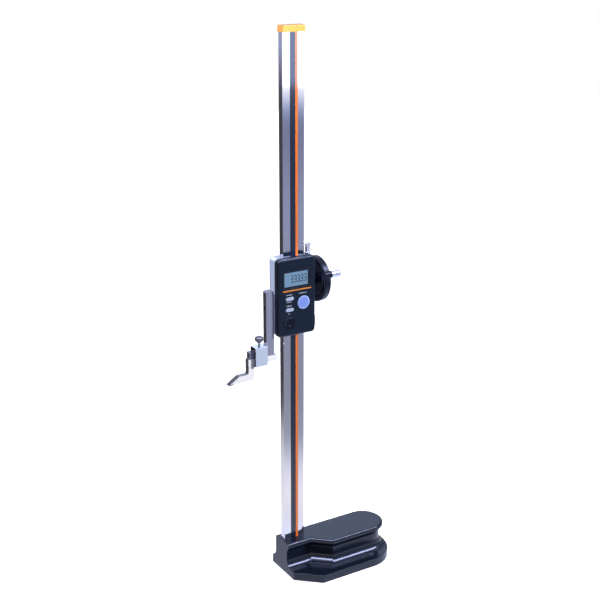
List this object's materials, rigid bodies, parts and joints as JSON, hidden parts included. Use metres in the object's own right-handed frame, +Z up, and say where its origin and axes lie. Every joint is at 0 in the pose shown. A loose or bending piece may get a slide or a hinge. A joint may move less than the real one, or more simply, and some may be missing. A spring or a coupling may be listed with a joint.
{
  "type": "height gauge",
  "caption": "digital height gauge: heavy base with a finger grip, tall flat column with scale, slider with display, geared handwheel, measuring arm and clamped scriber",
  "frame": {"origin": "on the base's flat underside, straight below the middle of the column", "axes": "+X along the base away from the scriber, -Y towards the display's front, +Z up the column"},
  "size_m": [0.2662, 0.1168, 0.813],
  "materials": {
    "cast_base": "fine textured dark paint over machined casting",
    "column_steel": "ground along its length",
    "screw_steel": "plain steel",
    "dark_screw": "blackened",
    "scale_board": "board",
    "scale_film": "dark film with an orange stripe",
    "gear_steel": "cut teeth, ground shafts",
    "cap_plastic": "moulded orange-yellow",
    "slider_metal": "satin",
    "brass": "plain",
    "board_green": "circuit board",
    "black_plastic": "moulded",
    "cover_plastic": "moulded navy black",
    "window_glass": "clear window with a dark border",
    "lcd_glass": "grey-blue liquid crystal panel",
    "key_plastic": "light grey-blue",
    "round_key_plastic": "light blue",
    "key_rubber": "silicone",
    "chrome": "polished",
    "wheel_black": "gloss black",
    "arm_steel": "ground",
    "clamp_silver": "satin plated",
    "scriber_steel": "fine ground",
    "carbide": "fine ground hard insert"
  },
  "bodies": {
    "stand": {"base": "cast_base", "column": "column_steel", "column_screws": "screw_steel", "scale_board": "scale_board", "scale_film": "scale_film", "rack": "gear_steel", "column_cap": "cap_plastic"},
    "slider": {"slider_frame": "slider_metal", "slider_back_plate": "slider_metal", "back_plate_screws": "screw_steel", "gib": "brass", "gib_screws": "screw_steel", "reader_board": "board_green", "board_pins": "black_plastic", "main_board": "board_green", "front_cover": "cover_plastic", "cover_screws": "screw_steel", "display_window": "window_glass", "lcd_panel": "lcd_glass", "lcd_connectors": "key_rubber", "key_mat": "key_rubber", "battery": "screw_steel", "battery_contact": "brass", "battery_holder": "black_plastic", "data_socket": "black_plastic", "gear_housing": "slider_metal", "housing_screws": "screw_steel", "shaft_bushes": "brass", "measuring_arm": "arm_steel", "arm_screw": "dark_screw"},
    "wheel": {"pinion": "gear_steel", "wheel_shaft": "gear_steel", "handwheel": "wheel_black", "wheel_screw": "screw_steel", "crank_pin": "gear_steel"},
    "knob": {"crank_knob": "chrome"},
    "lever": {"lock_lever": "chrome"},
    "key_upper": {"upper_key": "key_plastic"},
    "key_lower": {"lower_key": "key_plastic"},
    "key_round": {"round_key": "round_key_plastic"},
    "power_cap": {"battery_cap": "cover_plastic"},
    "data_cover": {"port_cover": "black_plastic"},
    "clamp": {"scriber_clamp": "clamp_silver"},
    "clamp_knob": {"clamp_screw": "clamp_silver"},
    "scriber_unit": {"scriber": "scriber_steel", "scriber_tip": "carbide"}
  },
  "joints": [
    {"name": "slider_travel", "type": "slide", "parent": "stand", "child": "slider", "axis": [0, 0, 1], "range_m": [-0.3285, 0.27]},
    {"name": "wheel_turn", "type": "hinge", "parent": "slider", "child": "wheel", "pos_m": [0.046, 0.0148, 0.4516], "axis": [1, 0, 0], "range_deg": [-2110, 1730]},
    {"name": "knob_spin", "type": "hinge", "parent": "wheel", "child": "knob", "pos_m": [0.064, -0.0145, 0.4635], "axis": [1, 0, 0], "continuous": true},
    {"name": "lock_turn", "type": "hinge", "parent": "slider", "child": "lever", "pos_m": [0.0212, -0.008, 0.4965], "axis": [0, 0, 1], "range_deg": [-90, 0]},
    {"name": "upper_key_press", "type": "slide", "parent": "slider", "child": "key_upper", "axis": [0, 1, 0], "range_m": [0, 0.0005], "stiffness_N_per_m": 300},
    {"name": "lower_key_press", "type": "slide", "parent": "slider", "child": "key_lower", "axis": [0, 1, 0], "range_m": [0, 0.0005], "stiffness_N_per_m": 300},
    {"name": "round_key_press", "type": "slide", "parent": "slider", "child": "key_round", "axis": [0, 1, 0], "range_m": [0, 0.0005], "stiffness_N_per_m": 300},
    {"name": "power_cap_turn", "type": "hinge", "parent": "slider", "child": "power_cap", "pos_m": [-0.0185, -0.0235, 0.4055], "axis": [0, -1, 0], "range_deg": [0, 60]},
    {"name": "data_cover_pull", "type": "slide", "parent": "slider", "child": "data_cover", "axis": [1, 0, 0], "range_m": [0, 0.006]},
    {"name": "clamp_travel", "type": "slide", "parent": "slider", "child": "clamp", "axis": [1, 0, 0], "range_m": [-0.007, 0]},
    {"name": "clamp_screw_turn", "type": "hinge", "parent": "clamp", "child": "clamp_knob", "pos_m": [-0.0627, -0.0152, 0.385], "axis": [0, 0, 1], "range_deg": [0, 720]},
    {"name": "scriber_travel", "type": "slide", "parent": "clamp", "child": "scriber_unit", "axis": [1, 0, 0], "range_m": [-0.015, 0]}
  ],
  "couplings": [
    {"joint": "wheel_turn", "follows": "slider_travel", "rad_per_m": 111.11}
  ]
}
